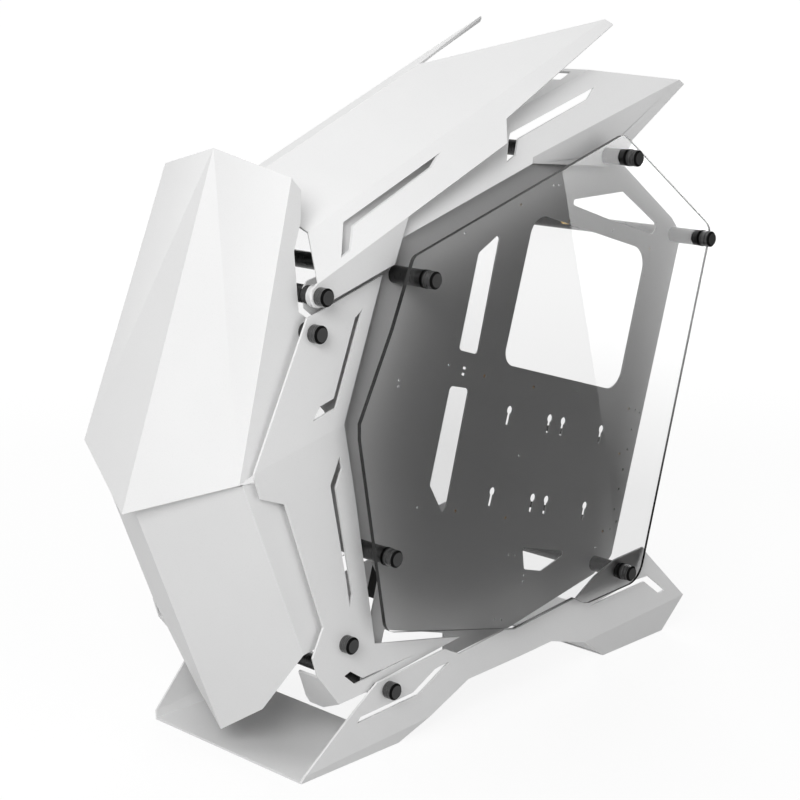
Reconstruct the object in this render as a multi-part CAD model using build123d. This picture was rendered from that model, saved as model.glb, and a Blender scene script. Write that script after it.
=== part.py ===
from build123d import *
import math
import os

# Open-frame ATX pc case of folded sheet panels, black cross rods and two glass sides.
# Frame while building: X across the case with 0 on its middle plane, -Y to the front,
# Y = 0 at the front edge of the base on the ground, +Z up. At the end everything is
# moved along Y so that the origin is under the middle of the case.

# Sheet and glass thicknesses
PANEL_T = 2.0
TRAY_T = 1.5
GLASS_T = 4.0
BRACKET_T = 1.6

# Places across the case, from its middle plane to an outer face
TRAY_X = 92.0
LOWER_FRONT_X = 100.0
FRAME_X = 107.0
GLASS_X = 130.5
FOOT_X = 98.4
TOP_FOLD_X = 78.0
REAR_TOP_FOLD_X = 72.0

# Rods, posts, thumbscrews and their holes
ROD_R = 7.6
HEAD_R = 7.6
HEAD_LEN = 10.0
SHANK_R = 2.5
SHANK_LEN = 9.0
GASKET_T = 0.6
GASKET_R = 8.0
SPACER_R = 5.0
ROD_CLEAR = 0.3
SHANK_CLEAR = 0.7
THREAD_CLEAR = 0.15
SEAT_GAP = 0.3
FACE_CHAMFER = 1.7

# Motherboard tray frame: ATX hole at the lower rear corner, tilt of the board
BOARD_Y = 414.65
BOARD_Z = 129.6
BOARD_TILT = 17.48
ATX_HOLE_R = 1.6
SMALL_HOLE_R = 1.3
STANDOFF_R = 3.0
STANDOFF_LEN = 6.5
STANDOFF_BORE_R = 1.5

# Rod centres in side view
ROD_TOP_FRONT = (120.7, 423.1)
ROD_MID_FRONT = (74.3, 192.6)
ROD_TOP_REAR = (393.2, 503.4)
ROD_REAR = (514.8, 415.8)
ROD_LOW_REAR = (401.8, 99.4)
ROD_ROOF = (20.0, 418.6)
ROD_FRONT = (18.0, 388.0)
ROD_SIDE = (45.6, 116.8)
ROD_FOOT = (91.8, 63.2)


def mirror_x(shape):
    return mirror(shape, about=Plane.YZ)


def plate(corners, thickness, inside):
    """Flat sheet whose outer face has these corners, thickened towards the point inside."""
    face = make_face(Polyline(*corners, close=True)).face()
    normal = face.normal_at()
    side = normal.dot(Vector(*inside) - face.center())
    return extrude(face, amount=thickness if side > 0 else -thickness)


def side_plate(outline, surface, thickness):
    """Sheet facing +X; outline is in side view (y, z) and surface gives its outer X."""
    corners = [(surface(y, z), y, z) for y, z in outline]
    middle = corners[0]
    return plate(corners, thickness, (middle[0] - 1000, middle[1], middle[2]))


def side_cut(outline, x_from=60, x_to=140):
    """Tool that cuts this side-view outline along X."""
    face = make_face(Polyline(*[(x_from, y, z) for y, z in outline], close=True))
    return extrude(face, amount=x_to - x_from, dir=(1, 0, 0))


def cross_cylinder(centre, radius, x_from, x_to):
    """Round bar along X at a side-view centre."""
    base = Plane(origin=(x_from, centre[0], centre[1]), x_dir=(0, 1, 0), z_dir=(1, 0, 0))
    return extrude(base * Circle(radius), amount=x_to - x_from)


def cross_tube(centre, radius, bore, x_from, x_to):
    tube = cross_cylinder(centre, radius, x_from, x_to)
    return tube - cross_cylinder(centre, bore, x_from - 1, x_to + 1)


def export(shape, name):
    PARTS[name] = shape


PARTS = {}

# Front upper panel: ridge on the middle plane, leaning back, with a wing on each side
UF_RIDGE_BOTTOM = 241.1
UF_RIDGE_TOP = 531.05
UF_FOLD_BOTTOM = (101.8, 278.0)
UF_FOLD_TOP = (79.8, 511.7)
UF_LEAN = 0.3667
UF_SWEEP = 0.25
UF_TOP_Y = 2.8


def upper_front_y(x, z):
    return UF_TOP_Y + UF_LEAN * (z - UF_RIDGE_TOP) + UF_SWEEP * abs(x)


def upper_wing_x(y, z):
    slope = (UF_FOLD_BOTTOM[0] - UF_FOLD_TOP[0]) / (UF_FOLD_TOP[1] - UF_FOLD_BOTTOM[1])
    return UF_FOLD_TOP[0] + slope * (UF_FOLD_TOP[1] - z)


def make_front_upper():
    face = [(0, UF_RIDGE_TOP), UF_FOLD_TOP, UF_FOLD_BOTTOM, (0, UF_RIDGE_BOTTOM)]
    half = plate([(x, upper_front_y(x, z), z) for x, z in face], PANEL_T, (0, 900, 300))
    top_y = upper_front_y(*UF_FOLD_TOP)
    bottom_y = upper_front_y(*UF_FOLD_BOTTOM)
    wing = [
        (top_y, UF_FOLD_TOP[1]), (25.1, 501), (21.6, 475.3), (12.4, 453.5), (12.4, 404.8),
        (21.2, 398.4), (29, 393), (29, 379), (14, 362), (-2, 320), (-22, 291),
        (-49.7, 283), (bottom_y, UF_FOLD_BOTTOM[1]),
    ]
    half += side_plate(wing, upper_wing_x, PANEL_T)
    half -= cross_cylinder(ROD_FRONT, ROD_R + ROD_CLEAR, 60, 120)
    return half + mirror_x(half)


# Front lower panel: leans forward and tucks in behind the upper one
LF_RIDGE_BOTTOM = 21.9
LF_TUCK_TOP = 251.0
LF_TUCK_RISE = 0.25
LF_LEAN = 0.3912
LF_SWEEP = 0.445
LF_BOTTOM_Y = -4.6
LF_VERTEX = (46.0, 51.8)
LF_FOLD_BOTTOM = 116.0


def lower_front_y(x, z):
    return LF_BOTTOM_Y - LF_LEAN * (z - LF_RIDGE_BOTTOM) + LF_SWEEP * abs(x)


def lower_wing_x(y, z):
    return LOWER_FRONT_X


def make_front_lower():
    side_top = LF_TUCK_TOP + LF_TUCK_RISE * LOWER_FRONT_X
    face = [
        (0, LF_RIDGE_BOTTOM), LF_VERTEX, (LOWER_FRONT_X, LF_FOLD_BOTTOM),
        (LOWER_FRONT_X, side_top), (0, LF_TUCK_TOP),
    ]
    half = plate([(x, lower_front_y(x, z), z) for x, z in face], PANEL_T, (0, 900, 150))
    wing = [
        (lower_front_y(LOWER_FRONT_X, LF_FOLD_BOTTOM), LF_FOLD_BOTTOM), (17.9, 118.3),
        (26.6, 134.7), (28, 150), (22, 215), (14, 251), (-8, 268), (-34, side_top),
        (lower_front_y(LOWER_FRONT_X, side_top), side_top),
    ]
    half += side_plate(wing, lower_wing_x, PANEL_T)
    return half + mirror_x(half)


# Top front panel: ridged roof with a V notch at the rear and two folds at each side
ROOF_RISE = 0.4217
ROOF_FALL = 0.435
ROOF_Z = 485.5
ROOF_NOTCH_Y = 246.5
ROOF_TIP_Y = 416.9
ROOF_FRONT_Y = 34.6
ROOF_WING_LEAN = 0.97
ROOF_FRONT_MID_Y = 30.0


def roof_z(x, y):
    return ROOF_Z + ROOF_RISE * y - ROOF_FALL * abs(x)


def roof_fold(y):
    return roof_z(TOP_FOLD_X, y)


def roof_wing_x(y, z):
    return TOP_FOLD_X + ROOF_WING_LEAN * (roof_fold(y) - z)


def roof_second_fold(y):
    return roof_fold(y) - (FRAME_X - TOP_FOLD_X) / ROOF_WING_LEAN


# Front switch and ports, on the left flap of the top front panel
IO_MIDDLE = (72.0, 438.5)
IO_TILT = 19.8
IO_START = -33.0
IO_END = 23.0
IO_HALF_HEIGHT = 8.0
IO_DEPTH = 19.0
BUTTON_S = -24.0
BUTTON_R = 5.9
BUTTON_CLEAR = 0.4
BUTTON_PROUD = 1.5
BUTTON_EDGE = 0.6
BUTTON_FLANGE_R = 7.2
BUTTON_FLANGE_T = 1.4
BUTTON_TRAVEL = 1.5
BUTTON_STEM_R = 2.0
BUTTON_STEM_LEN = 5.0
USB_PLACES = (-8.5, 6.5)
USB_SIZE = (13.4, 6.0)
USB_WALL = 0.5
USB_TONGUE_T = 1.8
USB_TONGUE_MARGIN = 1.6
USB_TONGUE_RECESS = 2.5
PORT_FIT = 0.05
PORT_CLEAR = 0.3
PORT_RECESS = 0.4
PORT_DEPTH = 14.0
JACK_S = 18.0
JACK_R = 3.2
JACK_BORE_R = 1.8


def io_point(s, t=0.0):
    tilt = math.radians(IO_TILT)
    return (
        IO_MIDDLE[0] + s * math.cos(tilt) - t * math.sin(tilt),
        IO_MIDDLE[1] + s * math.sin(tilt) + t * math.cos(tilt),
    )


def io_box(s, half_s, half_t, x_from, x_to):
    outline = [io_point(s + a * half_s, b * half_t)
               for a, b in ((-1, -1), (1, -1), (1, 1), (-1, 1))]
    return side_cut(outline, x_from, x_to)


def make_io_openings():
    cut = cross_cylinder(io_point(BUTTON_S), BUTTON_R + BUTTON_CLEAR, -FRAME_X - 1, -95)
    for s in USB_PLACES:
        cut += io_box(s, USB_SIZE[0] / 2 + PORT_CLEAR, USB_SIZE[1] / 2 + PORT_CLEAR,
                      -FRAME_X - 1, -95)
    return cut + cross_cylinder(io_point(JACK_S), JACK_R + PORT_CLEAR, -FRAME_X - 1, -95)


def make_io_module():
    """Black housing behind the flap, with a pocket for each port and for the button."""
    face = -(FRAME_X - PANEL_T)
    middle = (IO_START + IO_END) / 2
    body = io_box(middle, (IO_END - IO_START) / 2, IO_HALF_HEIGHT, face, face + IO_DEPTH)
    pocket = SEAT_GAP + BUTTON_FLANGE_T + BUTTON_TRAVEL + SEAT_GAP
    centre = io_point(BUTTON_S)
    body -= cross_cylinder(centre, BUTTON_FLANGE_R + BUTTON_CLEAR, face - 1, face + pocket)
    body -= cross_cylinder(centre, BUTTON_STEM_R + BUTTON_CLEAR, face - 1, face + IO_DEPTH - 2)
    port_end = -FRAME_X + PORT_RECESS + PORT_DEPTH
    for s in USB_PLACES:
        body -= io_box(s, USB_SIZE[0] / 2 + PORT_FIT, USB_SIZE[1] / 2 + PORT_FIT,
                       face - 1, port_end)
        body += io_box(s, USB_SIZE[0] / 2 - USB_TONGUE_MARGIN, USB_TONGUE_T / 2,
                       -FRAME_X + USB_TONGUE_RECESS, port_end + 1)
    body -= cross_cylinder(io_point(JACK_S), JACK_R + PORT_FIT, face - 1, port_end)
    return body


def make_usb_shell(s):
    start = -FRAME_X + PORT_RECESS
    outer = io_box(s, USB_SIZE[0] / 2, USB_SIZE[1] / 2, start, start + PORT_DEPTH)
    return outer - io_box(s, USB_SIZE[0] / 2 - USB_WALL, USB_SIZE[1] / 2 - USB_WALL,
                          start - 1, start + PORT_DEPTH + 1)


def make_button():
    face = -(FRAME_X - PANEL_T)
    centre = io_point(BUTTON_S)
    flange_start = face + SEAT_GAP
    cap = cross_cylinder(centre, BUTTON_R, -FRAME_X - BUTTON_PROUD, flange_start)
    rim = cap.edges().filter_by(GeomType.CIRCLE).sort_by(Axis.X)[0]
    cap = chamfer(rim, BUTTON_EDGE)
    flange_end = flange_start + BUTTON_FLANGE_T
    cap += cross_cylinder(centre, BUTTON_FLANGE_R, flange_start, flange_end)
    return cap + cross_cylinder(centre, BUTTON_STEM_R, flange_end, flange_end + BUTTON_STEM_LEN)


def make_top_front():
    face = [
        (0, ROOF_FRONT_MID_Y), (TOP_FOLD_X, ROOF_FRONT_Y), (TOP_FOLD_X, ROOF_TIP_Y),
        (0, ROOF_NOTCH_Y),
    ]
    half = plate([(x, y, roof_z(x, y)) for x, y in face], PANEL_T, (0, 200, -500))
    wing = [
        (ROOF_FRONT_Y, roof_fold(ROOF_FRONT_Y)), (ROOF_TIP_Y, roof_fold(ROOF_TIP_Y)),
        (421.5, 622.7), (259.9, 545), (246.1, roof_second_fold(246.1)),
        (17.9, roof_second_fold(17.9)),
    ]
    half += side_plate(wing, roof_wing_x, PANEL_T)
    flap = [
        (17.9, roof_second_fold(17.9)), (122.2, roof_second_fold(122.2)), (105.8, 434.7),
        (92.2, 431), (35.5, 414.3), (24, 409.5), (13.9, 410.5), (11.0, 417), (11.6, 424.9),
    ]
    half += side_plate(flap, lambda y, z: FRAME_X, PANEL_T)
    slot = [
        (182.5, 520.2), (167.2, 509), (73.5, 468.6), (59.4, 451.3), (47.8, 446.1),
        (66.8, 471.7),
    ]
    half -= side_cut(slot, 62)
    half -= cross_cylinder(ROD_ROOF, SHANK_R + SHANK_CLEAR, 60, 140)
    return half + mirror_x(half) - make_io_openings()


# Top rear panel: runs forward inside the roof, level across between its folds
REAR_TOP_RISE = 0.302
REAR_TOP_LEAN = 0.716
REAR_TOP_START = (300.6, 550.1)
REAR_TOP_END_Y = 402.9
REAR_TOP_FRONT_Y = 70.0
REAR_FLAP_FLARE = 0.0169


def rear_top_z(y):
    return REAR_TOP_START[1] + REAR_TOP_RISE * (y - REAR_TOP_START[0])


def rear_wing_x(y, z):
    return REAR_TOP_FOLD_X + REAR_TOP_LEAN * (rear_top_z(y) - z)


def rear_flap_x(y, z):
    return rear_wing_x(290.8, 509.4) + REAR_FLAP_FLARE * (y - 290.8)


def rear_flap_top(y):
    return rear_top_z(y) - (rear_flap_x(y, 0) - REAR_TOP_FOLD_X) / REAR_TOP_LEAN


def make_top_rear():
    front, rear = REAR_TOP_FRONT_Y, REAR_TOP_END_Y
    face = [(0, front), (REAR_TOP_FOLD_X, front), (REAR_TOP_FOLD_X, rear), (0, rear)]
    half = plate([(x, y, rear_top_z(y)) for x, y in face], PANEL_T, (0, 300, -500))
    tip_y = 504.1
    wing = [
        (front, rear_top_z(front)), (rear, rear_top_z(rear)), (tip_y, rear_flap_top(tip_y)),
        (290.8, rear_flap_top(290.8)), (286.9, 504), (122.5, 455.2), (98, 447.6), (93, 458),
        (50, 443), (50, 462),
    ]
    half += side_plate(wing, rear_wing_x, PANEL_T)
    flap = [
        (290.8, rear_flap_top(290.8)), (290.5, 503.5), (393.3, 493.4), (427.3, 508.1),
        (433.4, 514.9), (512.3, 563.9), (tip_y, rear_flap_top(tip_y)),
    ]
    half += side_plate(flap, rear_flap_x, PANEL_T)
    slot = [
        (398.1, 565.3), (383.4, 555.1), (285.1, 525.1), (273.6, 512), (260, 506.2),
        (274, 524.5), (279.2, 530.1),
    ]
    half -= side_cut(slot)
    vent = [(41.0, 396), (46.0, 374.7), (60.0, 374.7), (55.0, 396)]
    vent_face = make_face(Polyline(*[(x, y, 500) for x, y in vent], close=True))
    half -= extrude(vent_face, amount=120, dir=(0, 0, 1))
    half -= cross_cylinder(ROD_TOP_REAR, SHANK_R + SHANK_CLEAR, 60, 140)
    return half + mirror_x(half)


# Side frames: one crease, two slots and a bevelled flange at the lower front
CREASE_FRONT = (-52.9, 285.9)
CREASE_SLOPE = 0.229
FRAME_UPPER_LEAN = 0.07
# Bevelled flange corners: run inward from the fold, share of the fold's length downward
FLANGE_POINTS = [(0, 0), (26, 0.05), (48, 1.24), (50, 1.52), (33, 1.52), (0, 1)]


def crease_z(y):
    return CREASE_FRONT[1] + CREASE_SLOPE * (y - CREASE_FRONT[0])


def frame_upper_x(y, z):
    return FRAME_X - FRAME_UPPER_LEAN * (z - crease_z(y))


def make_side_frame():
    upper = [
        (12.3, 400.9), (98.3, 425.6), (45.7, crease_z(45.7)), CREASE_FRONT,
    ]
    body = side_plate(upper, frame_upper_x, PANEL_T)
    lower = [
        CREASE_FRONT, (-53.2, 282.6), (-46.4, 263.7), (-20.6, 253.8), (20, 137.7),
        (7.5, 113.7), (13.4, 94.9), (37.5, 63.9), (72, 65.6), (79, 70.5), (110, 74),
        (189.3, 83.4), (167.2, 88.6), (80.5, 106.9), (75.9, 135.5), (63.9, 206.4),
        (58.4, 241), (45.7, crease_z(45.7)),
    ]
    body += side_plate(lower, lambda y, z: FRAME_X, PANEL_T)
    fold_top, fold_bottom = (13.4, 94.9), (37.5, 63.9)
    flange = []
    for inward, along in FLANGE_POINTS:
        y = fold_top[0] + along * (fold_bottom[0] - fold_top[0])
        z = fold_top[1] + along * (fold_bottom[1] - fold_top[1])
        flange.append((FRAME_X - inward, y, z))
    body += plate(flange, PANEL_T, (FRAME_X, 200, 200))
    upper_slot = [
        (74, 400.8), (64.6, 394.4), (35.8, 331.9), (20.8, 328), (11.4, 316.7), (27, 320.9),
        (37.8, 323.5),
    ]
    lower_slot = [
        (40.5, 282.7), (29.4, 259.6), (31.8, 246.6), (46.8, 172.9), (51, 147.2),
        (54.1, 158.8), (46.3, 198.3), (35.9, 255.7), (43, 271.3),
    ]
    arm_slot = [(130.5, 83.3), (65.7, 79.8), (51, 90), (43.7, 87.9), (56.4, 76.5)]
    for slot in (upper_slot, lower_slot, arm_slot):
        body -= side_cut(slot)
    body -= cross_cylinder(ROD_FRONT, SHANK_R + SHANK_CLEAR, 80, 120)
    body -= cross_cylinder(ROD_SIDE, SHANK_R + SHANK_CLEAR, 80, 120)
    return body


# Base: one folded sheet with a floor plate at each end and a leaning wing on each side
FOOT_BEVEL_LEAN = 0.44
FOOT_WING_LEAN = 0.14
FOOT_FOLD_Z = 7.5
FOOT_FOLD_RISE = 0.0643
FRONT_FLOOR_END = 118.9
REAR_FLOOR_START = 414.0
REAR_FLOOR_END = 513.0


def foot_fold(y):
    return FOOT_FOLD_Z + FOOT_FOLD_RISE * y


def foot_bevel_x(y, z):
    return FOOT_X + FOOT_BEVEL_LEAN * z


def foot_wing_x(y, z):
    return foot_bevel_x(y, foot_fold(y)) + FOOT_WING_LEAN * (z - foot_fold(y))


def make_base():
    half = Part()
    for start, end in ((0, FRONT_FLOOR_END), (REAR_FLOOR_START, REAR_FLOOR_END)):
        floor = [(0, start, 0), (FOOT_X, start, 0), (FOOT_X, end, 0), (0, end, 0)]
        half += plate(floor, PANEL_T, (0, 200, 100))
    front_bevel = [(0, 0), (FRONT_FLOOR_END, 0), (151.5, foot_fold(151.5)), (2.3, foot_fold(2.3))]
    rear_bevel = [
        (REAR_FLOOR_START, 0), (REAR_FLOOR_END, 0), (523.5, foot_fold(523.5)),
        (365.5, foot_fold(365.5)),
    ]
    for bevel in (front_bevel, rear_bevel):
        half += side_plate(bevel, foot_bevel_x, PANEL_T)
    wing = [
        (2.3, foot_fold(2.3)), (46, 46.7), (69.6, 66.5), (78, 72.8), (161.2, 81.6),
        (172.5, 75.8), (181.6, 71.3), (240.7, 78.7), (255.6, 75.2), (340.6, 84.7),
        (365, 101.4), (393.6, 112.0), (437.2, 115.2), (448.5, 104.9),
        (523.5, foot_fold(523.5)), (365.5, foot_fold(365.5)), (313.2, 46.8), (270.6, 44),
        (198.4, 40.9), (151.5, foot_fold(151.5)),
    ]
    half += side_plate(wing, foot_wing_x, PANEL_T)
    front_slot = [
        (57.8, 39.9), (61.7, 45.3), (125.1, 49.4), (150.9, 65.1), (169.4, 67.3),
        (133.5, 45.3),
    ]
    rear_slot = [
        (363.8, 69.6), (450.4, 74.3), (478.8, 54.2), (488.6, 55.3), (455.5, 79.4),
        (436.1, 80.1),
    ]
    for slot in (front_slot, rear_slot):
        half -= side_cut(slot, 70, 150)
    half -= cross_cylinder(ROD_LOW_REAR, ROD_R + ROD_CLEAR, 100, 140)
    half -= cross_cylinder(ROD_FOOT, SHANK_R + SHANK_CLEAR, 90, 140)
    return half + mirror_x(half)


# Glass sides with rounded corners and one small step at the lower edge
GLASS_HOLE_R = 5.0
GLASS_CORNERS = [
    ((105.2, 443.5), 9), ((383.5, 525.9), 14), ((528.6, 425.0), 14), ((428.4, 84.0), 24),
    ((348.3, 81.0), 0), ((340.2, 82.9), 0), ((323.9, 92.3), 0), ((237.6, 84.7), 0),
    ((71.7, 125.7), 14), ((42, 299.7), 0), ((42, 312.9), 0), ((80, 386.1), 0),
]
GLASS_RODS = [ROD_TOP_FRONT, ROD_MID_FRONT, ROD_TOP_REAR, ROD_REAR, ROD_LOW_REAR]


def rounded_outline(corners):
    """Closed outline from ((y, z), radius) corners, each with its own rounding."""
    edges = []
    count = len(corners)
    ends = []
    for i, (point, radius) in enumerate(corners):
        here = Vector(*point)
        before = (Vector(*corners[i - 1][0]) - here).normalized()
        after = (Vector(*corners[(i + 1) % count][0]) - here).normalized()
        if radius == 0:
            ends.append((here, here, None))
            continue
        half_angle = math.acos(before.dot(after)) / 2
        reach = radius / math.tan(half_angle)
        bisector = (before + after).normalized()
        centre = here + bisector * (radius / math.sin(half_angle))
        middle = centre - bisector * radius
        ends.append((here + before * reach, here + after * reach, middle))
    for i, (start, end, middle) in enumerate(ends):
        if middle is not None:
            edges.append(ThreePointArc(start, middle, end))
        following = ends[(i + 1) % count][0]
        if (following - end).length > 1e-6:
            edges.append(Line(end, following))
    return make_face(Wire([e for item in edges for e in item.edges()])).face()


def side_sheet(face, outer_x, thickness):
    """Sheet from a face drawn in (y, z), with its outer side at outer_x."""
    base = Plane(origin=(outer_x - thickness, 0, 0), x_dir=(0, 1, 0), z_dir=(1, 0, 0))
    return extrude(base * face, amount=thickness)


def make_glass():
    pane = side_sheet(rounded_outline(GLASS_CORNERS), GLASS_X, GLASS_T)
    for centre in GLASS_RODS:
        pane -= cross_cylinder(centre, GLASS_HOLE_R, GLASS_X - 10, GLASS_X + 10)
    return pane


# Motherboard tray, laid out in board coordinates: u to the front, v up along the board
def board(u, v):
    tilt = math.radians(BOARD_TILT)
    return (
        BOARD_Y - u * math.cos(tilt) + v * math.sin(tilt),
        BOARD_Z + u * math.sin(tilt) + v * math.cos(tilt),
    )


ATX_HOLES = [
    (0, 0), (154.94, 0), (227.33, 0), (0, 78.74), (0, 124.46), (154.94, 124.46),
    (227.33, 124.46), (22.86, 281.94), (154.94, 281.94), (227.33, 281.94),
]
SLOT_PITCH = 20.32
SLOT_COUNT = 7
SLOT_FIRST_V = 2.98
SLOT_MARK_U = -11.0
TRAY_SMALL_HOLES = [
    (-18.7, 123), (-18.7, 11.4), (6.5, -17.4), (88.4, 129.7), (278, 127), (154.7, 59.4),
    (279, -1.6), (337, 104.8), (336, 99.5), (294, 242), (188, 308.7), (181, 310.5),
    (88.2, 287.3), (139.6, -34), (129.3, -34), (109.5, -52), (109.4, -58), (139.7, -96),
    (129, -96),
]
KEYHOLE_COLUMNS = (182, 121, 100, 38)
KEYHOLE_ROWS = (99.0, 22.5)
KEYHOLE_HEAD_R = 4.0
KEYHOLE_TAIL_R = 2.2
KEYHOLE_DROP = 12.0
TIE_SLOT_U = 256.3
TIE_SLOT_ROWS = (127.4, 121.8)
TIE_SLOT = (5.0, 2.4)


def board_box(u, v, wide, high, x_from, x_to):
    """Block along X, centred at (u, v) and square to the board."""
    outline = [board(u + a * wide / 2, v + b * high / 2)
               for a, b in ((-1, -1), (1, -1), (1, 1), (-1, 1))]
    return side_cut(outline, x_from, x_to)


def in_tray(corners):
    """Rounded corners given in board coordinates, turned into side view."""
    return [(board(u, v), radius) for (u, v), radius in corners]


def make_tray():
    outline = [
        (board(-22.9, -24.0), 10), (board(1, -43.7), 0), (board(117, -103.3), 0),
        ((196.3, 60.0), 0), ((184.1, 66.0), 0), (board(206.5, -112), 1),
        (board(287, -112), 1), ((101.5, 90.0), 0), ((104.0, 62.0), 12), ((86.0, 50.5), 10),
        ((78.5, 66.0), 10), ((79.0, 98.0), 8), ((48.0, 103.0), 10), ((30.5, 108.0), 10),
        ((33.0, 131.0), 10), ((56.0, 128.0), 8), ((91.7, 127.5), 0), ((99.9, 155.6), 0),
        ((98.5, 163.5), 0), ((92.0, 176.0), 8), ((44.0, 198.5), 6), ((38.0, 250.0), 0),
        ((39.6, 317.5), 5), ((31.5, 325.0), 4), ((31.5, 396.0), 8), ((16.6, 407.5), 3),
        ((15.4, 424.0), 4), ((20.0, 429.5), 4), ((60.0, 437.0), 0), ((122.5, 459.0), 0),
        ((286.9, 507.5), 0), ((392.0, 512.0), 0), ((405.0, 510.0), 0), (board(90.7, 349.3), 0),
        (board(-2.7, 318.4), 12), (board(-23, 306), 14),
    ]
    tray = side_sheet(rounded_outline(outline), TRAY_X, TRAY_T)
    cutouts = [
        [((206, 139), 14), ((206, 279.7), 20), ((27, 279.8), 20), ((24.7, 139), 20)],
        [((169.4, 298), 3), ((83.7, 326), 3), ((17.6, 306.5), 6), ((23.5, 296.5), 5),
         ((90.7, 296), 3)],
        [((247, 252.8), 3), ((270.6, 229), 3), ((269.2, 142), 4), ((243, 141.8), 4)],
        [((270.5, 109.3), 4), ((244.7, 110.5), 4), ((241, 3), 3), ((244.8, -3.8), 3),
         ((269.4, 19.5), 3)],
        [((121, -25.6), 2), ((57.4, -24), 2), ((55.9, -28.5), 2), ((84.7, -46), 4),
         ((111.6, -46.2), 4)],
    ]
    for corners in cutouts:
        hole = rounded_outline(in_tray(corners))
        tray -= side_sheet(hole, TRAY_X + 5, TRAY_T + 10)
    for u, v in ATX_HOLES:
        tray -= cross_cylinder(board(u, v), ATX_HOLE_R, TRAY_X - 10, TRAY_X + 10)
    for u, v in TRAY_SMALL_HOLES:
        tray -= cross_cylinder(board(u, v), SMALL_HOLE_R, TRAY_X - 10, TRAY_X + 10)
    for i in range(SLOT_COUNT):
        mark = board(SLOT_MARK_U, SLOT_FIRST_V + i * SLOT_PITCH)
        tray -= cross_cylinder(mark, SMALL_HOLE_R, TRAY_X - 10, TRAY_X + 10)
    for u in KEYHOLE_COLUMNS:
        for v in KEYHOLE_ROWS:
            tray -= make_keyhole(u, v)
    for v in TIE_SLOT_ROWS:
        tray -= board_box(TIE_SLOT_U, v, TIE_SLOT[0], TIE_SLOT[1], TRAY_X - 10, TRAY_X + 10)
    for centre in (ROD_TOP_REAR, ROD_SIDE, ROD_FOOT):
        tray -= cross_cylinder(centre, ROD_R + ROD_CLEAR, TRAY_X - 10, TRAY_X + 10)
    for centre in (ROD_TOP_FRONT, ROD_MID_FRONT, ROD_REAR, ROD_LOW_REAR, ROD_ROOF):
        tray -= cross_cylinder(centre, SHANK_R + SHANK_CLEAR, TRAY_X - 10, TRAY_X + 10)
    return tray


def make_keyhole(u, v):
    head = cross_cylinder(board(u, v), KEYHOLE_HEAD_R, TRAY_X - 10, TRAY_X + 10)
    tail_end = board(u, v - KEYHOLE_DROP)
    tail = cross_cylinder(tail_end, KEYHOLE_TAIL_R, TRAY_X - 10, TRAY_X + 10)
    r = KEYHOLE_TAIL_R
    neck = [board(u - r, v), board(u + r, v), board(u + r, v - KEYHOLE_DROP),
            board(u - r, v - KEYHOLE_DROP)]
    return head + tail + side_cut(neck, TRAY_X - 10, TRAY_X + 10)


# Rods, posts, gaskets, thumbscrews
def make_rod(centre, x_left, x_right):
    """Black bar across the case with a blind thread for a screw in each end."""
    rod = cross_cylinder(centre, ROD_R, x_left, x_right)
    bore = SHANK_R + THREAD_CLEAR
    rod -= cross_cylinder(centre, bore, x_left - 1, x_left + SHANK_LEN + 6)
    rod -= cross_cylinder(centre, bore, x_right - SHANK_LEN - 6, x_right + 1)
    return rod


def make_post(centre, x_inner, x_outer):
    """Post between the tray or a panel and the glass, with a screw end into its rod."""
    post = cross_cylinder(centre, ROD_R, x_inner, x_outer)
    post -= cross_cylinder(centre, SHANK_R + THREAD_CLEAR, x_outer - SHANK_LEN, x_outer + 1)
    return post + cross_cylinder(centre, SHANK_R, x_inner - SHANK_LEN, x_inner)


def make_thumbscrew(centre, x_seat, shank_len):
    """Round head with a bevelled rim, on a plain shank."""
    head = cross_cylinder(centre, HEAD_R, x_seat, x_seat + HEAD_LEN)
    rim = head.edges().filter_by(GeomType.CIRCLE).sort_by(Axis.X)[-1]
    head = chamfer(rim, FACE_CHAMFER)
    return head + cross_cylinder(centre, SHANK_R, x_seat - shank_len, x_seat)


def x_at(surface, centre):
    return surface(centre[0], centre[1])


def inner_x(surface, centre):
    """Inner face of a leaning side sheet at a rod centre, measured along X."""
    step = 1.0
    here = surface(*centre)
    per_y = surface(centre[0] + step, centre[1]) - here
    per_z = surface(centre[0], centre[1] + step) - here
    return here - PANEL_T * math.sqrt(1 + per_y ** 2 + per_z ** 2)


def lean_reach(surface, centre, radius):
    """How far along X a leaning sheet moves across a round seat."""
    step = 1.0
    here = surface(*centre)
    per_y = surface(centre[0] + step, centre[1]) - here
    per_z = surface(centre[0], centre[1] + step) - here
    return radius * math.hypot(per_y, per_z)


front_upper = make_front_upper()
front_lower = make_front_lower()
top_front = make_top_front()
top_rear = make_top_rear()
frame_right = make_side_frame()
frame_left = mirror_x(frame_right)
base = make_base()
glass = make_glass()
tray = make_tray()
export(front_upper, "front_upper_panel")
export(front_lower, "front_lower_panel")
export(top_front, "top_front_panel")
export(top_rear, "top_rear_panel")
export(frame_right, "side_frame_right")
export(frame_left, "side_frame_left")
export(base, "base_stand")
export(glass, "glass_right")
export(mirror_x(glass), "glass_left")
export(tray, "motherboard_tray")

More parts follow.
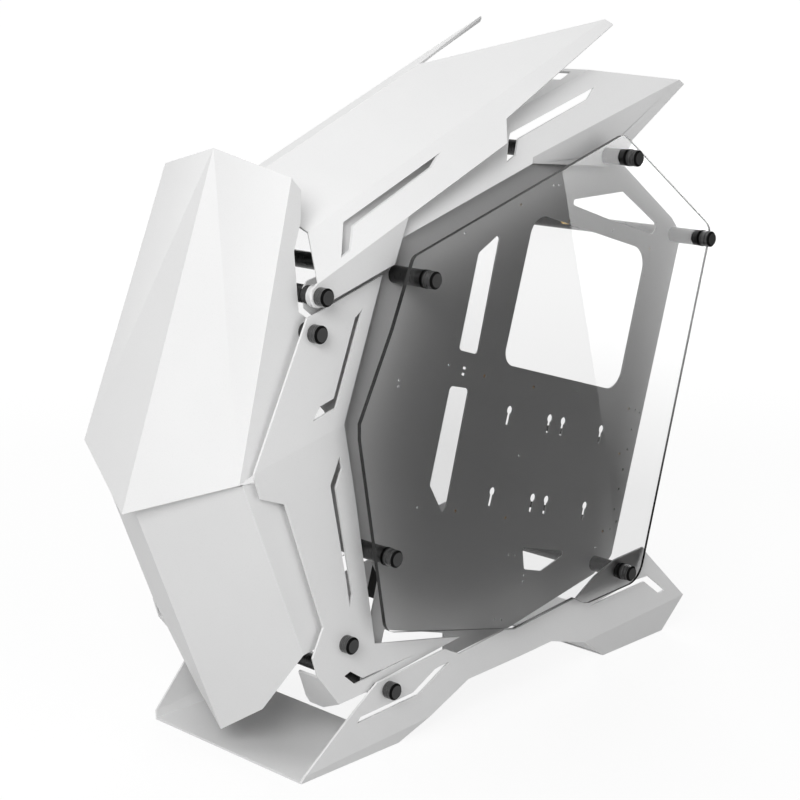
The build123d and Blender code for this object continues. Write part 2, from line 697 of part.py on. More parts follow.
# Long rods: the ones that carry the left glass end on its gasket
glass_seat = GLASS_X - GLASS_T - GASKET_T
tray_inner = TRAY_X - TRAY_T
rear_in = inner_x(rear_flap_x, ROD_TOP_REAR) - lean_reach(rear_flap_x, ROD_TOP_REAR, ROD_R)
front_in = inner_x(frame_upper_x, ROD_FRONT) - lean_reach(frame_upper_x, ROD_FRONT, ROD_R)
foot_in = inner_x(foot_wing_x, ROD_FOOT) - lean_reach(foot_wing_x, ROD_FOOT, ROD_R)
frame_in = FRAME_X - PANEL_T
WASHER_T = 5.0
WASHER_R = 9.5
export(make_rod(ROD_TOP_FRONT, -glass_seat, tray_inner), "rod_top_front")
export(make_rod(ROD_MID_FRONT, -glass_seat, tray_inner), "rod_mid_front")
export(make_rod(ROD_REAR, -glass_seat, tray_inner), "rod_rear")
export(make_rod(ROD_LOW_REAR, -glass_seat, tray_inner), "rod_low_rear")
export(make_rod(ROD_TOP_REAR, -rear_in, rear_in), "rod_top_rear")
export(make_rod(ROD_ROOF, -(frame_in - WASHER_T), tray_inner), "rod_roof")
export(make_rod(ROD_FRONT, -front_in, front_in), "rod_front")
export(make_rod(ROD_SIDE, -frame_in, frame_in), "rod_side")
export(make_rod(ROD_FOOT, -foot_in, foot_in), "rod_foot")

# Posts that hold the glass; the one at the top rear stands on the rear panel's flap
rear_out = x_at(rear_flap_x, ROD_TOP_REAR) + lean_reach(rear_flap_x, ROD_TOP_REAR, ROD_R)
posts_right = [make_post(c, TRAY_X, glass_seat)
               for c in (ROD_TOP_FRONT, ROD_MID_FRONT, ROD_REAR, ROD_LOW_REAR)]
post_top_rear = make_post(ROD_TOP_REAR, rear_out, glass_seat)
posts_right.append(post_top_rear)
export(Compound(children=posts_right), "glass_posts_right")
export(mirror_x(post_top_rear), "glass_post_left")
roof_sleeve = cross_tube(ROD_ROOF, ROD_R, SHANK_R + SHANK_CLEAR, TRAY_X, frame_in - WASHER_T)
export(roof_sleeve, "roof_sleeve")
roof_washer = cross_tube(ROD_ROOF, WASHER_R, SHANK_R + SHANK_CLEAR, frame_in - WASHER_T, frame_in)
export(Compound(children=[roof_washer, mirror_x(roof_washer)]), "roof_washers")

# Gaskets on both faces of each glass, and the thumbscrews through them
gaskets = []
glass_screws = []
for centre in GLASS_RODS:
    for x in (glass_seat, GLASS_X):
        gaskets.append(cross_tube(centre, GASKET_R, GLASS_HOLE_R, x, x + GASKET_T))
    glass_screws.append(make_thumbscrew(centre, GLASS_X + GASKET_T,
                                        GLASS_T + 2 * GASKET_T + SHANK_LEN - 1))
export(Compound(children=gaskets), "glass_gaskets_right")
export(Compound(children=[mirror_x(g) for g in gaskets]), "glass_gaskets_left")
export(Compound(children=glass_screws), "glass_thumbscrews_right")
export(Compound(children=[mirror_x(s) for s in glass_screws]), "glass_thumbscrews_left")

# Thumbscrews of the roof, the side frames and the base, on each side
front_out = x_at(frame_upper_x, ROD_FRONT) + lean_reach(frame_upper_x, ROD_FRONT, HEAD_R)
foot_out = x_at(foot_wing_x, ROD_FOOT) + lean_reach(foot_wing_x, ROD_FOOT, HEAD_R)
frame_seats = [
    (ROD_SIDE, FRAME_X, frame_in),
    (ROD_FRONT, front_out, front_in),
    (ROD_FOOT, foot_out, foot_in),
]
frame_screws = [make_thumbscrew(c, seat, seat - rod_end + SHANK_LEN)
                for c, seat, rod_end in frame_seats]
roof_reach = FRAME_X - tray_inner + SHANK_LEN
roof_screw_right = make_thumbscrew(ROD_ROOF, FRAME_X, roof_reach)
roof_screw_left = mirror_x(make_thumbscrew(ROD_ROOF, FRAME_X, PANEL_T + WASHER_T + SHANK_LEN))
export(Compound(children=frame_screws + [roof_screw_right]), "frame_thumbscrews_right")
export(Compound(children=[mirror_x(s) for s in frame_screws] + [roof_screw_left]),
       "frame_thumbscrews_left")

# Spacers between the front panels' wings and the side frames
UPPER_SPACER = (-18.0, 304.0)
LOWER_SPACERS = [(-24.0, 264.5), (6.0, 214.0)]
upper_from = x_at(upper_wing_x, UPPER_SPACER) + lean_reach(upper_wing_x, UPPER_SPACER, SPACER_R)
upper_to = inner_x(frame_upper_x, UPPER_SPACER) - lean_reach(frame_upper_x, UPPER_SPACER, SPACER_R)
spacers = [cross_cylinder(UPPER_SPACER, SPACER_R, upper_from, upper_to)]
for centre in LOWER_SPACERS:
    spacers.append(cross_cylinder(centre, SPACER_R, LOWER_FRONT_X, frame_in))
export(Compound(children=spacers + [mirror_x(s) for s in spacers]), "panel_spacers")

# Brass standoffs behind the tray for the motherboard
standoffs = []
for u, v in ATX_HOLES:
    tube = cross_tube(board(u, v), STANDOFF_R, STANDOFF_BORE_R, tray_inner - STANDOFF_LEN,
                      tray_inner)
    standoffs.append(tube)
export(Compound(children=standoffs), "motherboard_standoffs")

# Housing, ports and button on the left flap
export(make_io_module(), "io_module")
export(Compound(children=[make_usb_shell(s) for s in USB_PLACES]), "usb_shells")
jack_start = -FRAME_X + PORT_RECESS
export(cross_tube(io_point(JACK_S), JACK_R, JACK_BORE_R, jack_start, jack_start + PORT_DEPTH),
       "audio_jack")
export(make_button(), "power_button")

# Expansion slot frame: stands square to the tray at its rear edge, flange on the tray, with
# one open slot for each card between its bars
SLOT_FRAME_U = -22.4
SLOT_BAR = 6.3
SLOT_BELOW_MARK = 6.9
SLOT_LENGTH = 108.0
SLOT_FROM_TRAY = 9.5
SLOT_END_MARGIN = 6.5
SLOT_LOW_MARGIN = 5.0
SLOT_HIGH_MARGIN = 8.0
SLOT_FLANGE = 17.0


def make_slot_frame():
    high = SLOT_PITCH - SLOT_BAR
    first_v = SLOT_FIRST_V - SLOT_BELOW_MARK
    last_v = first_v + (SLOT_COUNT - 1) * SLOT_PITCH
    low_end = first_v - high / 2 - SLOT_LOW_MARGIN
    high_end = last_v + high / 2 + SLOT_HIGH_MARGIN
    mid_v = (low_end + high_end) / 2
    slot_to = tray_inner - SLOT_FROM_TRAY
    end_x = slot_to - SLOT_LENGTH - SLOT_END_MARGIN
    flange_u = SLOT_FRAME_U + SLOT_FLANGE / 2
    frame = board_box(SLOT_FRAME_U + BRACKET_T / 2, mid_v, BRACKET_T, high_end - low_end,
                      end_x, tray_inner)
    for x in (end_x, tray_inner - BRACKET_T):
        frame += board_box(flange_u, mid_v, SLOT_FLANGE, high_end - low_end, x, x + BRACKET_T)
    for i in range(SLOT_COUNT):
        frame -= board_box(SLOT_FRAME_U, first_v + i * SLOT_PITCH, 10, high,
                           slot_to - SLOT_LENGTH, slot_to)
        mark = board(SLOT_MARK_U, SLOT_FIRST_V + i * SLOT_PITCH)
        frame -= cross_cylinder(mark, SMALL_HOLE_R, tray_inner - 5, tray_inner + 5)
    return frame - cross_cylinder(ROD_LOW_REAR, ROD_R + ROD_CLEAR, -140, 140)


export(make_slot_frame(), "expansion_slot_frame")

# Power supply bracket: black plate square to the tray in front of the board, screwed to the
# tray by a flange, with the supply's end face on it and a tab hanging from its rear edge
PSU_U = 284.0
PSU_WIDTH = 150.0
PSU_THICK = 86.0
PSU_V = -32.0
PSU_EDGE = 4.0
PSU_FLANGE = 22.0
PSU_FLANGE_SHORT = 48.0
PSU_RIM_ALONG = 14.0
PSU_RIM_ACROSS = 12.0
PSU_HOLE_R = 1.9
PSU_HOLE_IN = 6.0
PSU_HOLE_PITCH = 64.0
PSU_TAB_X = 57.0
PSU_TAB_DROP = 58.0


def make_psu_bracket():
    mid_u = PSU_U + PSU_WIDTH / 2
    wide = PSU_WIDTH + 2 * PSU_EDGE
    x_from = tray_inner - PSU_THICK - 2 * PSU_EDGE
    plate_v = PSU_V - BRACKET_T / 2
    bracket = board_box(mid_u, plate_v, wide, BRACKET_T, x_from, tray_inner)
    flange_len = wide - PSU_FLANGE_SHORT
    bracket += board_box(PSU_U - PSU_EDGE + flange_len / 2, PSU_V - BRACKET_T + PSU_FLANGE / 2,
                         flange_len, PSU_FLANGE, tray_inner - BRACKET_T, tray_inner)
    tab_u = PSU_U - PSU_EDGE + BRACKET_T / 2
    bracket += board_box(tab_u, PSU_V - PSU_TAB_DROP / 2, BRACKET_T, PSU_TAB_DROP, PSU_TAB_X,
                         tray_inner - BRACKET_T)
    opening_to = tray_inner - PSU_EDGE - PSU_RIM_ACROSS
    opening_from = tray_inner - PSU_EDGE - PSU_THICK + PSU_RIM_ACROSS
    bracket -= board_box(mid_u, plate_v, PSU_WIDTH - 2 * PSU_RIM_ALONG, 10,
                         opening_from, opening_to)
    for along in (PSU_HOLE_IN, PSU_WIDTH - PSU_HOLE_IN):
        for across in (PSU_HOLE_IN, PSU_HOLE_IN + PSU_HOLE_PITCH):
            bracket -= make_psu_hole(along, across)
    return bracket


def make_psu_hole(along, across):
    y, z = board(PSU_U + along, PSU_V - 5)
    tilt = math.radians(BOARD_TILT)
    normal = (0, math.sin(tilt), math.cos(tilt))
    base_plane = Plane(origin=(tray_inner - PSU_EDGE - across, y, z), z_dir=normal)
    return extrude(base_plane * Circle(PSU_HOLE_R), amount=10)


export(make_psu_bracket(), "psu_bracket")

# Spacers between the rear panel's forward ends and the roof's flaps
ROOF_SPACER = (106.0, 457.0)
roof_spacer = cross_cylinder(ROOF_SPACER, SPACER_R, inner_x(rear_wing_x, ROOF_SPACER), frame_in)
roof_spacer = (roof_spacer - top_rear).solids().sort_by(Axis.X)[-1]
export(Compound(children=[roof_spacer, mirror_x(roof_spacer)]), "roof_spacers")


def move_and_save():
    """Moves the origin under the middle of the case and writes one file for each piece."""
    os.makedirs("parts", exist_ok=True)
    box = Compound(children=[Compound(children=p.solids()) for p in PARTS.values()]).bounding_box()
    shift = Pos(0, -(box.min.Y + box.max.Y) / 2, 0)
    for name, shape in PARTS.items():
        solids = shape.solids()
        moved = shift * (Compound(children=solids) if len(solids) > 1 else solids[0])
        export_step(moved, "parts/" + name + ".step")


move_and_save()
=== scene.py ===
# Looks of the open-frame pc case: finishes, edges, glass, studio light and camera.
import math

import bpy
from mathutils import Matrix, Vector

# Camera at the photograph's place, in metres and degrees
CAMERA_PLACE = (1.1498, -1.17303, 0.676)
CAMERA_AZIMUTH = 44.18
CAMERA_ELEVATION = 13.46
CAMERA_LENS = 81.675
SENSOR_WIDTH = 36.0

# Which CAD nodes take which finish
PANEL_NODES = [
    "front_upper_panel", "front_lower_panel", "top_front_panel", "top_rear_panel",
    "side_frame_left", "side_frame_right", "base_stand",
]
ROD_NODES = [
    "rod_foot", "rod_front", "rod_low_rear", "rod_mid_front", "rod_rear", "rod_roof",
    "rod_side", "rod_top_front", "rod_top_rear", "roof_sleeve", "glass_post_left",
    "glass_posts_right",
]
SCREW_NODES = [
    "frame_thumbscrews_left", "frame_thumbscrews_right",
    "glass_thumbscrews_left", "glass_thumbscrews_right",
]
POWDER_COATED_NODES = ["expansion_slot_frame", "psu_bracket"]
GASKET_NODES = ["glass_gaskets_left", "glass_gaskets_right"]
GLASS_NODES = ["glass_left", "glass_right"]

# Edge rounding, in metres and degrees
SHEET_EDGE = 0.0006
BRACKET_EDGE = 0.0003
WELD_REACH = 0.00001
SHARP_ANGLE = 30.0

# Glass: how clear it looks, how strongly it mirrors, the tint of the light that lands
# behind it, and the roughness of its smears
GLASS_CLEAR = 0.86
GLASS_IOR = 1.25
GLASS_SHADE = 0.04
GLASS_SMEAR = 0.004

# A face is a screw's rim, a screw's flat face or a pane's clear face when its normal points
# sideways by more than this
SCREW_RIM_FROM = 0.3
SCREW_FACE_FROM = 0.95
PANE_FACE_FROM = 0.7


# Node helpers
def new_material(name):
    """Empty node material with its Principled shader."""
    material = bpy.data.materials.new(name)
    material.use_nodes = True
    return material, material.node_tree, material.node_tree.nodes["Principled BSDF"]


def add_node(tree, kind, inputs=None, **settings):
    made = tree.nodes.new(kind)
    for key, value in settings.items():
        setattr(made, key, value)
    for key, value in (inputs or {}).items():
        made.inputs[key].default_value = value
    return made


def add_noise(tree, scale, detail=3.0, roughness=0.5, stretch=(1, 1, 1)):
    """Noise in object coordinates, so that its grain has a real size; scale is per metre."""
    place = add_node(tree, "ShaderNodeTexCoord")
    mapping = add_node(tree, "ShaderNodeMapping", {"Scale": stretch})
    noise = add_node(tree, "ShaderNodeTexNoise",
                     {"Scale": scale, "Detail": detail, "Roughness": roughness})
    tree.links.new(place.outputs["Object"], mapping.inputs["Vector"])
    tree.links.new(mapping.outputs["Vector"], noise.inputs["Vector"])
    return noise.outputs["Fac"]


def remap(tree, value, low, high, start=0.3, end=0.7):
    """Value from start to end, turned into low to high."""
    made = add_node(tree, "ShaderNodeMapRange",
                    {"From Min": start, "From Max": end, "To Min": low, "To Max": high})
    tree.links.new(value, made.inputs["Value"])
    return made.outputs["Result"]


def mix_colours(tree, share, first, second):
    """Colour mix; first and second are colours or output sockets."""
    made = add_node(tree, "ShaderNodeMix", data_type="RGBA")
    tree.links.new(share, made.inputs["Factor"])
    for socket, colour in ((made.inputs[6], first), (made.inputs[7], second)):
        if isinstance(colour, bpy.types.NodeSocket):
            tree.links.new(colour, socket)
        else:
            socket.default_value = colour
    return made.outputs[2]


def edge_share(tree, radius):
    """1 near an edge of the piece and 0 on its faces, from how a rounded normal turns."""
    rounded = add_node(tree, "ShaderNodeBevel", {"Radius": radius}, samples=4)
    geometry = add_node(tree, "ShaderNodeNewGeometry")
    along = add_node(tree, "ShaderNodeVectorMath", operation="DOT_PRODUCT")
    tree.links.new(rounded.outputs["Normal"], along.inputs[0])
    tree.links.new(geometry.outputs["Normal"], along.inputs[1])
    return remap(tree, along.outputs["Value"], 1.0, 0.0, 0.85, 0.99)


def add_bump(tree, shader, height, strength, depth):
    bump = add_node(tree, "ShaderNodeBump", {"Strength": strength, "Distance": depth})
    tree.links.new(height, bump.inputs["Height"])
    tree.links.new(bump.outputs["Normal"], shader.inputs["Normal"])


def grey(level, warmth=0.0):
    return (level * (1 + warmth), level, level * (1 - warmth), 1.0)


# Finishes
def blasted_aluminium(name, level, metallic, roughness):
    """Bead-blasted, clear-anodised sheet: cloudy tone, fine grain and paler cut edges."""
    material, tree, shader = new_material(name)
    cloud = add_noise(tree, 9.0, 4.0, 0.55)
    speck = add_noise(tree, 900.0, 2.0, 0.6)
    tone = mix_colours(tree, remap(tree, cloud, 0.0, 1.0), grey(level * 0.975), grey(level))
    tone = mix_colours(tree, remap(tree, speck, 0.0, 0.12, 0.55, 0.75), tone, grey(level * 0.7))
    tone = mix_colours(tree, edge_share(tree, 0.0007), tone, grey(min(level * 1.12, 0.93)))
    tree.links.new(tone, shader.inputs["Base Color"])
    tree.links.new(remap(tree, cloud, roughness - 0.04, roughness + 0.05),
                   shader.inputs["Roughness"])
    shader.inputs["Metallic"].default_value = metallic
    shader.inputs["Specular IOR Level"].default_value = 0.25
    add_bump(tree, shader, speck, 0.04, 0.00003)
    return material


def black_anodised(name, level, roughness, stretch=(1, 1, 1), shine=0.5):
    """Black anodised turned aluminium: faint turning marks and a slightly worn rim."""
    material, tree, shader = new_material(name)
    marks = add_noise(tree, 700.0, 3.0, 0.6, stretch)
    cloud = add_noise(tree, 30.0, 3.0)
    tone = mix_colours(tree, remap(tree, cloud, 0.0, 1.0), grey(level * 0.85), grey(level * 1.15))
    tone = mix_colours(tree, edge_share(tree, 0.0005), tone, grey(level * 2.2))
    tree.links.new(tone, shader.inputs["Base Color"])
    tree.links.new(remap(tree, marks, roughness - 0.05, roughness + 0.08),
                   shader.inputs["Roughness"])
    shader.inputs["Metallic"].default_value = 0.2
    shader.inputs["Specular IOR Level"].default_value = shine
    add_bump(tree, shader, marks, 0.15, 0.00005)
    return material


def powder_coat(name, level):
    """Black powder coat: tiny orange-peel texture."""
    material, tree, shader = new_material(name)
    peel = add_noise(tree, 1400.0, 2.0, 0.5)
    cloud = add_noise(tree, 18.0, 3.0)
    tone = mix_colours(tree, remap(tree, cloud, 0.0, 1.0), grey(level * 0.85), grey(level * 1.1))
    tone = mix_colours(tree, edge_share(tree, 0.0004), tone, grey(level * 2.5))
    tree.links.new(tone, shader.inputs["Base Color"])
    tree.links.new(remap(tree, peel, 0.42, 0.55), shader.inputs["Roughness"])
    add_bump(tree, shader, peel, 0.3, 0.00012)
    return material


def rubber(name):
    material, tree, shader = new_material(name)
    grain = add_noise(tree, 1200.0, 2.0)
    tone = mix_colours(tree, remap(tree, grain, 0.0, 1.0), grey(0.008), grey(0.016))
    tree.links.new(tone, shader.inputs["Base Color"])
    tree.links.new(remap(tree, grain, 0.7, 0.85), shader.inputs["Roughness"])
    add_bump(tree, shader, grain, 0.2, 0.0001)
    return material


def moulded_plastic(name, level):
    material, tree, shader = new_material(name)
    grain = add_noise(tree, 1000.0, 3.0)
    tone = mix_colours(tree, remap(tree, grain, 0.0, 1.0), grey(level * 0.85), grey(level * 1.15))
    tree.links.new(tone, shader.inputs["Base Color"])
    tree.links.new(remap(tree, grain, 0.38, 0.5), shader.inputs["Roughness"])
    add_bump(tree, shader, grain, 0.25, 0.0001)
    return material


def bare_metal(name, dark, pale, roughness, stretch=(1, 1, 1)):
    """Uncoated metal with drawn or turned marks along one direction."""
    material, tree, shader = new_material(name)
    marks = add_noise(tree, 500.0, 4.0, 0.6, stretch)
    tone = mix_colours(tree, remap(tree, marks, 0.0, 1.0), dark, pale)
    tree.links.new(tone, shader.inputs["Base Color"])
    tree.links.new(remap(tree, marks, roughness - 0.06, roughness + 0.1),
                   shader.inputs["Roughness"])
    shader.inputs["Metallic"].default_value = 1.0
    add_bump(tree, shader, marks, 0.2, 0.00005)
    return material


def tinted_glass(name):
    """Clear to look through, while the light that lands behind it comes through a tint."""
    material, tree, shader = new_material(name)
    smear = add_noise(tree, 14.0, 5.0, 0.6)
    tree.links.new(remap(tree, smear, 0.0, GLASS_SMEAR), shader.inputs["Roughness"])
    shader.inputs["Base Color"].default_value = grey(GLASS_CLEAR)
    shader.inputs["IOR"].default_value = GLASS_IOR
    shader.inputs["Transmission Weight"].default_value = 1.0
    path = add_node(tree, "ShaderNodeLightPath")
    either = add_node(tree, "ShaderNodeMath", operation="MAXIMUM")
    tree.links.new(path.outputs["Is Shadow Ray"], either.inputs[0])
    tree.links.new(path.outputs["Is Diffuse Ray"], either.inputs[1])
    shade = add_node(tree, "ShaderNodeBsdfTransparent", {"Color": grey(GLASS_SHADE)})
    both = add_node(tree, "ShaderNodeMixShader")
    tree.links.new(either.outputs["Value"], both.inputs["Fac"])
    tree.links.new(shader.outputs["BSDF"], both.inputs[1])
    tree.links.new(shade.outputs["BSDF"], both.inputs[2])
    output = tree.nodes["Material Output"]
    tree.links.new(both.outputs["Shader"], output.inputs["Surface"])
    return material


def glass_rim(name):
    """Ground and dark edge of the tinted pane."""
    material, tree, shader = new_material(name)
    grain = add_noise(tree, 800.0, 2.0)
    tone = mix_colours(tree, remap(tree, grain, 0.0, 1.0), grey(0.004), grey(0.012))
    tree.links.new(tone, shader.inputs["Base Color"])
    tree.links.new(remap(tree, grain, 0.25, 0.4), shader.inputs["Roughness"])
    return material


# Giving the finishes to the CAD nodes
def give(names, material):
    for name in names:
        mesh = cad_nodes[name].data
        mesh.materials.clear()
        mesh.materials.append(material)


def give_by_face(names, materials, pick):
    """Several finishes on one node, chosen by facing; on the screws they carry painted light and
    shade. pick says which one a face takes, by its sideways normal.
    """
    for name in names:
        mesh = cad_nodes[name].data
        mesh.materials.clear()
        for material in materials:
            mesh.materials.append(material)
        for face in mesh.polygons:
            face.material_index = pick(abs(face.normal.x))


def screw_finish(sideways):
    """Place of the colour in the screw's list: 0 for the side, painted paler as painted light; 1
    for the rim, painted near black as painted shade; 2 for the face.
    """
    if sideways < SCREW_RIM_FROM:
        return 0
    if sideways < SCREW_FACE_FROM:
        return 1
    return 2


def pane_finish(sideways):
    """Place of the finish in the pane's list: clear face or ground rim."""
    return 0 if sideways > PANE_FACE_FROM else 1


def ease_edges(names, width, segments=2):
    """Small rounding on every sharp edge, so that it catches the light."""
    for name in names:
        thing = cad_nodes[name]
        weld = thing.modifiers.new("weld", "WELD")
        weld.merge_threshold = WELD_REACH
        bevel = thing.modifiers.new("edges", "BEVEL")
        bevel.width = width
        bevel.segments = segments
        bevel.limit_method = "ANGLE"
        bevel.angle_limit = math.radians(SHARP_ANGLE)
        bevel.harden_normals = False
        even = thing.modifiers.new("even", "WEIGHTED_NORMAL")
        even.keep_sharp = True


def finish_parts():
    panel = blasted_aluminium("panel_aluminium", 0.82, 0.08, 0.5)
    give(PANEL_NODES, panel)
    give(["roof_washers", "panel_spacers", "roof_spacers"],
         blasted_aluminium("washer_aluminium", 0.78, 0.6, 0.38))
    give(["motherboard_tray"], blasted_aluminium("tray_aluminium", 0.66, 0.08, 0.5))
    give(ROD_NODES, black_anodised("rod_black", 0.022, 0.3, (1, 0.15, 0.15)))
    give(POWDER_COATED_NODES, powder_coat("bracket_black", 0.03))
    give(GASKET_NODES, rubber("gasket_rubber"))
    give(["io_module"], moulded_plastic("housing_plastic", 0.02))
    give(["power_button"], black_anodised("button_black", 0.03, 0.28))
    give(["motherboard_standoffs"],
         bare_metal("standoff_brass", (0.6, 0.4, 0.14, 1), (0.78, 0.57, 0.26, 1), 0.28))
    steel = bare_metal("shell_steel", grey(0.55), grey(0.72), 0.25, (0.2, 1, 1))
    give(["usb_shells", "audio_jack"], steel)
    screw_face = black_anodised("screw_face", 0.022, 0.4)
    # The turned side keeps its own turning marks and is painted about three times paler than the
    # face: painted light that the side catches.
    screw_side_painted_light = black_anodised("screw_side_painted_light", 0.06, 0.26, (1, 0.15, 0.15))
    # The rim between face and side is painted near black and matt: painted shade of the groove
    # behind the screw's face.
    screw_rim_painted_shade = black_anodised("screw_rim_painted_shade", 0.002, 0.6, shine=0.05)
    give_by_face(SCREW_NODES, [screw_side_painted_light, screw_rim_painted_shade, screw_face], screw_finish)
    give_by_face(GLASS_NODES, [tinted_glass("tinted_glass"), glass_rim("glass_rim")],
                 pane_finish)


def ease_parts():
    ease_edges(PANEL_NODES, SHEET_EDGE)
    ease_edges(POWDER_COATED_NODES, BRACKET_EDGE, 1)


# Studio
OBJECT_MIDDLE = Vector((0, 0, 0.32))
LAMP_DISTANCE = 3.0
LAMPS = [
    # name, azimuth, elevation, level on a white surface that faces it, diameter in metres
    ("key", 32, 28, 0.58, 1.6),
    ("fill", -42, 50, 0.13, 2.4),
    ("side", 92, 12, 0.16, 1.8),
    ("front", 12, 6, 0.04, 1.8),
    ("top", 20, 75, 0.16, 2.4),
    ("back", -140, 30, 0.40, 2.2),
]
# Lamps that give no highlight, since the camera looks along the sheets against them
MATT_LAMPS = ["back"]
WORLD_LEVEL = 0.20

# Floor: half its width, its glow near and far, where near ends and far starts, the share of
# lamp light that the camera sees on it, and its tone for the light that it throws back
FLOOR_HALF = 30.0
FLOOR_GLOW = 0.88
FLOOR_GLOW_FAR = 0.98
FLOOR_NEAR = 1.0
FLOOR_FAR = 3.5
FLOOR_SEEN = 0.13
FLOOR_BOUNCE = 0.55


def direction(azimuth, elevation):
    """Unit vector towards a lamp or camera; azimuth 0 is the front, -Y."""
    around = math.radians(azimuth)
    up = math.radians(elevation)
    return Vector((math.sin(around) * math.cos(up), -math.cos(around) * math.cos(up),
                   math.sin(up)))


def add_lamp(name, azimuth, elevation, level, diameter):
    lamp = bpy.data.lights.new(name, "AREA")
    lamp.shape = "DISK"
    lamp.size = diameter
    lamp.energy = level * math.pi ** 2 * LAMP_DISTANCE ** 2
    thing = bpy.data.objects.new(name, lamp)
    towards = direction(azimuth, elevation)
    thing.location = OBJECT_MIDDLE + towards * LAMP_DISTANCE
    thing.rotation_mode = "QUATERNION"
    thing.rotation_quaternion = towards.to_track_quat("Z", "Y")
    thing.visible_glossy = name not in MATT_LAMPS
    bpy.context.scene.collection.objects.link(thing)


def seen_share(tree):
    """1 for rays that show the background itself, 0 for the ones that only light things."""
    path = add_node(tree, "ShaderNodeLightPath")
    total = None
    for name in ("Is Camera Ray", "Is Glossy Ray", "Is Transmission Ray"):
        if total is None:
            total = path.outputs[name]
            continue
        larger = add_node(tree, "ShaderNodeMath", operation="MAXIMUM")
        tree.links.new(total, larger.inputs[0])
        tree.links.new(path.outputs[name], larger.inputs[1])
        total = larger.outputs["Value"]
    return total


def make_world():
    world = bpy.data.worlds.new("studio")
    bpy.context.scene.world = world
    world.use_nodes = True
    tree = world.node_tree
    background = tree.nodes["Background"]
    background.inputs["Color"].default_value = (1, 1, 1, 1)
    level = add_node(tree, "ShaderNodeMapRange", {"To Min": WORLD_LEVEL, "To Max": 1.0})
    tree.links.new(seen_share(tree), level.inputs["Value"])
    tree.links.new(level.outputs["Result"], background.inputs["Strength"])


def floor_material():
    """White for the camera with the object's soft shadow, plain pale for the light."""
    material, tree, shader = new_material("floor_white")
    material.cycles.emission_sampling = "NONE"
    grain = add_noise(tree, 3.0, 2.0)
    tone = mix_colours(tree, remap(tree, grain, 0.0, 1.0), grey(FLOOR_BOUNCE * 0.98),
                       grey(FLOOR_BOUNCE))
    tree.links.new(tone, shader.inputs["Base Color"])
    shader.inputs["Roughness"].default_value = 0.9
    shader.inputs["Specular IOR Level"].default_value = 0.0
    glow = add_node(tree, "ShaderNodeEmission", {"Color": (1, 1, 1, 1)})
    place = add_node(tree, "ShaderNodeTexCoord")
    reach = add_node(tree, "ShaderNodeVectorMath", operation="LENGTH")
    tree.links.new(place.outputs["Object"], reach.inputs[0])
    tree.links.new(remap(tree, reach.outputs["Value"], FLOOR_GLOW, FLOOR_GLOW_FAR,
                         FLOOR_NEAR, FLOOR_FAR), glow.inputs["Strength"])
    shown = add_node(tree, "ShaderNodeBsdfDiffuse", {"Color": grey(FLOOR_SEEN)})
    added = add_node(tree, "ShaderNodeAddShader")
    both = add_node(tree, "ShaderNodeMixShader")
    tree.links.new(glow.outputs["Emission"], added.inputs[0])
    tree.links.new(shown.outputs["BSDF"], added.inputs[1])
    tree.links.new(seen_share(tree), both.inputs["Fac"])
    tree.links.new(shader.outputs["BSDF"], both.inputs[1])
    tree.links.new(added.outputs["Shader"], both.inputs[2])
    tree.links.new(both.outputs["Shader"], tree.nodes["Material Output"].inputs["Surface"])
    return material


def flat_piece(name, corners, material):
    mesh = bpy.data.meshes.new(name)
    mesh.from_pydata(corners, [], [tuple(range(len(corners)))])
    mesh.materials.append(material)
    thing = bpy.data.objects.new(name, mesh)
    bpy.context.scene.collection.objects.link(thing)
    return thing


def make_floor():
    h = FLOOR_HALF
    floor = flat_piece("floor", [(-h, -h, 0), (h, -h, 0), (h, h, 0), (-h, h, 0)],
                       floor_material())
    floor.visible_glossy = False


# White card that the right-hand glass mirrors on its rear part, seen by glossy rays alone,
# dark at its foot and bright at its top
CARD_LEVEL = 12.0
CARD_DARK_Z = -0.25
CARD_BRIGHT_Z = 0.35
CARD_Y = 1.388
CARD_CORNERS = [(1.190, 0.311), (1.065, -0.221), (1.00, -0.9), (-0.2, -0.9), (-0.2, 1.2),
                (1.30, 1.2)]


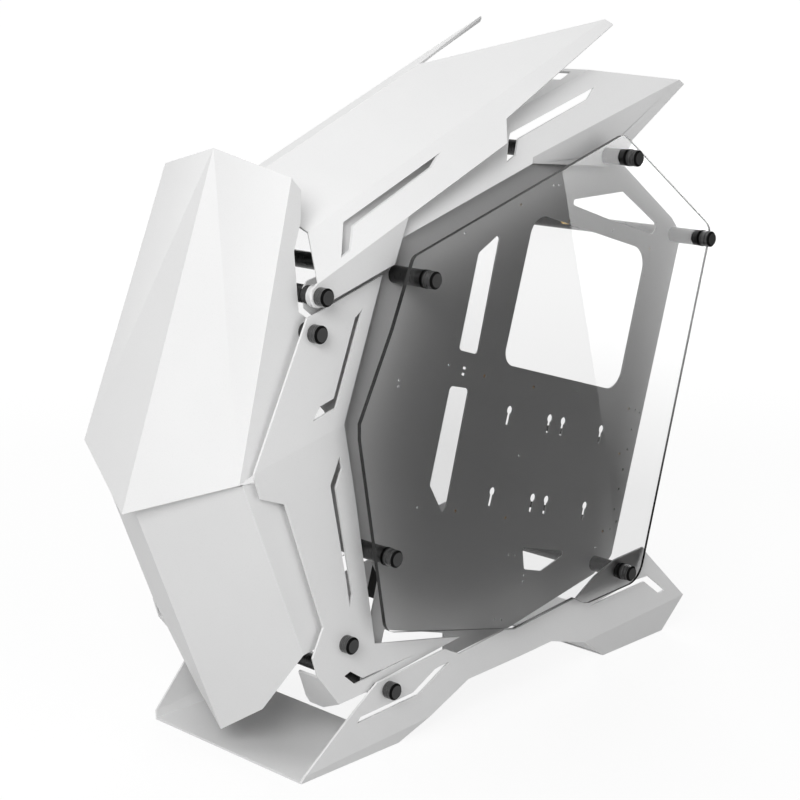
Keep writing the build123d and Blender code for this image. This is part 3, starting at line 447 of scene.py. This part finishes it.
def make_card(receivers):
    material, tree, shader = new_material("card_white")
    material.cycles.emission_sampling = "NONE"
    glow = add_node(tree, "ShaderNodeEmission", {"Color": (1, 1, 1, 1)})
    place = add_node(tree, "ShaderNodeTexCoord")
    parts = add_node(tree, "ShaderNodeSeparateXYZ")
    tree.links.new(place.outputs["Object"], parts.inputs["Vector"])
    tree.links.new(remap(tree, parts.outputs["Z"], 0.0, CARD_LEVEL, CARD_DARK_Z, CARD_BRIGHT_Z),
                   glow.inputs["Strength"])
    tree.links.new(glow.outputs["Emission"], tree.nodes["Material Output"].inputs["Surface"])
    card = flat_piece("card", [(x, CARD_Y, z) for x, z in CARD_CORNERS], material)
    card.visible_camera = False
    card.visible_diffuse = False
    card.visible_transmission = False
    card.visible_shadow = False
    lit = bpy.data.collections.new("lit_by_card")
    for name in receivers:
        lit.objects.link(cad_nodes[name])
    card.light_linking.receiver_collection = lit


def make_camera():
    data = bpy.data.cameras.new("camera")
    data.lens = CAMERA_LENS
    data.sensor_width = SENSOR_WIDTH
    camera = bpy.data.objects.new("camera", data)
    camera.location = CAMERA_PLACE
    camera.rotation_mode = "QUATERNION"
    back = direction(CAMERA_AZIMUTH, CAMERA_ELEVATION)
    camera.rotation_quaternion = (-back).to_track_quat("-Z", "Y")
    bpy.context.scene.collection.objects.link(camera)
    bpy.context.scene.camera = camera


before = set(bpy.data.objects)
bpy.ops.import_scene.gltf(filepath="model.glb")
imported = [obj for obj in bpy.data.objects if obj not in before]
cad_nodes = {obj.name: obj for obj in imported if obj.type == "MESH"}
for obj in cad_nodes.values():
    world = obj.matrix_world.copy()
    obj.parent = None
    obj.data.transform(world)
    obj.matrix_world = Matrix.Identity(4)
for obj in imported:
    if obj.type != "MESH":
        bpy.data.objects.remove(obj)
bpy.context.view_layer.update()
bpy.context.scene.view_settings.view_transform = "Standard"
make_camera()
finish_parts()
ease_parts()
make_world()
make_floor()
make_card(GLASS_NODES)
for lamp in LAMPS:
    add_lamp(*lamp)
